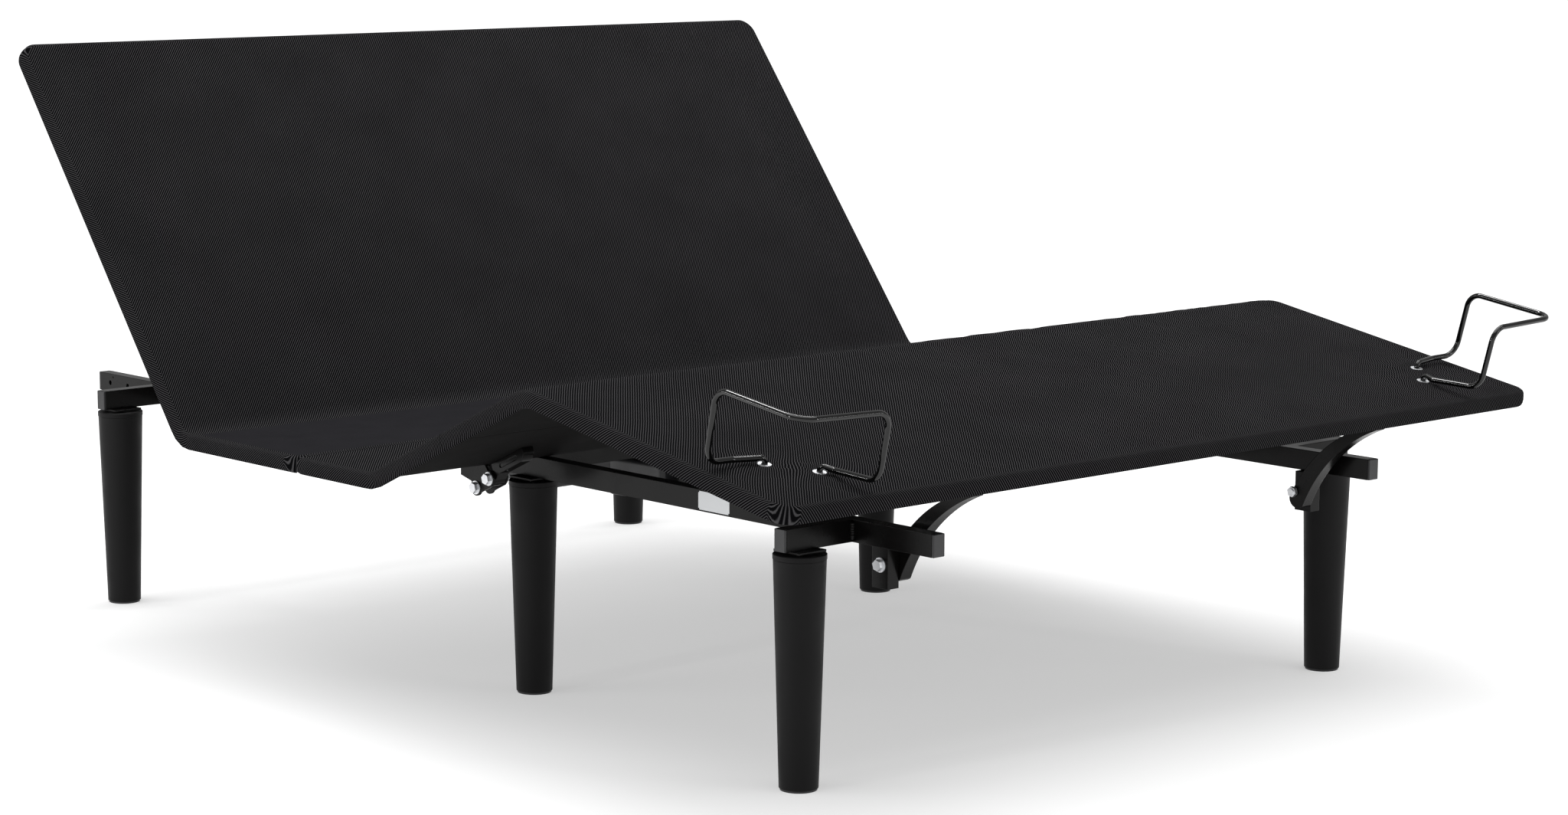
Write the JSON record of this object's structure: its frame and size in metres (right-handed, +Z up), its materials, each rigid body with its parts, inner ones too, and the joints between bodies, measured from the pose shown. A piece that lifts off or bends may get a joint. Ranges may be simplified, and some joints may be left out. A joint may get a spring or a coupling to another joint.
{
  "type": "adjustable bed base",
  "caption": "Motorised adjustable bed base on round tapered legs, with lifting head, thigh and foot decks covered in black mesh and corner bars that hold the mattress.",
  "frame": {"origin": "on the floor, in the middle of the base as it stands with head and legs raised", "axes": "+Z up, +Y towards the head of the bed, +X to the right seen from the foot"},
  "size_m": [1.514, 2.0366, 0.9075],
  "materials": {
    "black_steel": "semi-gloss black powder coat",
    "gloss_rod": "gloss black",
    "zinc_fastener": "bright zinc",
    "bright_steel": "ground",
    "tube_grey": "anodised",
    "leg_shell": "fine matt texture",
    "black_plastic": "moulded satin",
    "mesh_fabric": "ribbed knit mesh",
    "faced_board": "black faced plywood"
  },
  "bodies": {
    "frame": {"rail_foot_left": "black_steel", "rail_foot_right": "black_steel", "rail_head_left": "black_steel", "rail_head_right": "black_steel", "rail_splice_plates": "black_steel", "crossbar_foot": "black_steel", "crossbar_head": "black_steel", "motor_crossbars": "black_steel", "seam_crossbars": "black_steel", "outriggers": "black_steel", "tube_end_caps": "black_plastic", "leg_foot_left": "leg_shell", "leg_foot_right": "leg_shell", "leg_middle_left": "leg_shell", "leg_middle_right": "leg_shell", "leg_head_left": "leg_shell", "leg_head_right": "leg_shell", "leg_glides": "black_plastic", "leg_studs": "zinc_fastener", "leg_mount_plates": "black_steel", "seat_board_head": "faced_board", "seat_board_foot": "faced_board", "seat_cover_head": "mesh_fabric", "seat_cover_foot": "mesh_fabric", "head_hinge_brackets": "black_steel", "thigh_hinge_brackets": "black_steel", "hinge_bolts": "zinc_fastener", "swing_bracket_left": "black_steel", "swing_bracket_right": "black_steel", "swing_pivot_bolts": "zinc_fastener", "head_motor_clevis": "black_steel", "leg_motor_clevis": "black_steel", "control_box": "black_plastic", "power_supply": "black_plastic"},
    "head_deck": {"head_board": "faced_board", "head_cover": "mesh_fabric", "head_battens": "black_steel", "head_hinge_straps": "black_steel", "head_lever": "black_steel"},
    "thigh_deck": {"thigh_board": "faced_board", "thigh_cover": "mesh_fabric", "thigh_hinge_straps": "black_steel", "thigh_lever": "black_steel", "knee_leaves_thigh": "black_steel", "knee_pins": "zinc_fastener"},
    "foot_deck": {"foot_board": "faced_board", "foot_cover": "mesh_fabric", "knee_leaves_foot": "black_steel", "foot_deck_lugs": "black_steel", "retainer_bar_left": "gloss_rod", "retainer_bar_right": "gloss_rod", "retainer_washers": "zinc_fastener"},
    "left_swing_arm": {"swing_arm_left": "black_steel"},
    "right_swing_arm": {"swing_arm_right": "black_steel"},
    "head_actuator": {"head_motor": "black_plastic", "head_outer_tube": "tube_grey"},
    "head_rod": {"head_push_rod": "bright_steel"},
    "leg_actuator": {"leg_motor": "black_plastic", "leg_outer_tube": "tube_grey"},
    "leg_rod": {"leg_push_rod": "bright_steel"}
  },
  "joints": [
    {"name": "head_hinge", "type": "hinge", "parent": "frame", "child": "head_deck", "pos_m": [0, 0.3268, 0.3375], "axis": [1, 0, 0], "range_deg": [-52.32, 0]},
    {"name": "thigh_hinge", "type": "hinge", "parent": "frame", "child": "thigh_deck", "pos_m": [0, -0.14859, 0.3275], "axis": [-1, 0, 0], "range_deg": [-24.75, 0]},
    {"name": "knee_hinge", "type": "hinge", "parent": "thigh_deck", "child": "foot_deck", "pos_m": [0, -0.4807, 0.48996], "axis": [1, 0, 0], "range_deg": [-35.2, 0]},
    {"name": "left_swing_pivot", "type": "hinge", "parent": "frame", "child": "left_swing_arm", "pos_m": [-0.407, -0.8249, 0.29], "axis": [-1, 0, 0], "range_deg": [-37.76, 0]},
    {"name": "right_swing_pivot", "type": "hinge", "parent": "frame", "child": "right_swing_arm", "pos_m": [0.407, -0.8249, 0.29], "axis": [-1, 0, 0], "range_deg": [-37.76, 0]},
    {"name": "head_actuator_pivot", "type": "hinge", "parent": "frame", "child": "head_actuator", "pos_m": [-0.12, -0.0849, 0.262], "axis": [1, 0, 0], "range_deg": [0, 2.37]},
    {"name": "head_rod_slide", "type": "slide", "parent": "head_actuator", "child": "head_rod", "axis": [0, 0.9996, -0.0273], "range_m": [-0.0779, 0]},
    {"name": "leg_actuator_pivot", "type": "hinge", "parent": "frame", "child": "leg_actuator", "pos_m": [0.12, 0.2751, 0.262], "axis": [1, 0, 0], "range_deg": [-1.46, 0]},
    {"name": "leg_rod_slide", "type": "slide", "parent": "leg_actuator", "child": "leg_rod", "axis": [0, -0.9983, -0.058], "range_m": [-0.0375, 0]}
  ],
  "couplings": [
    {"joint": "knee_hinge", "follows": "thigh_hinge", "ratio": 1.4218},
    {"joint": "left_swing_pivot", "follows": "thigh_hinge", "ratio": 1.5238},
    {"joint": "right_swing_pivot", "follows": "thigh_hinge", "ratio": 1.5238},
    {"joint": "head_actuator_pivot", "follows": "head_hinge", "ratio": -0.044915},
    {"joint": "head_rod_slide", "follows": "head_hinge", "m_per_rad": 0.085096},
    {"joint": "leg_actuator_pivot", "follows": "thigh_hinge", "ratio": 0.058229},
    {"joint": "leg_rod_slide", "follows": "thigh_hinge", "m_per_rad": 0.086257}
  ]
}
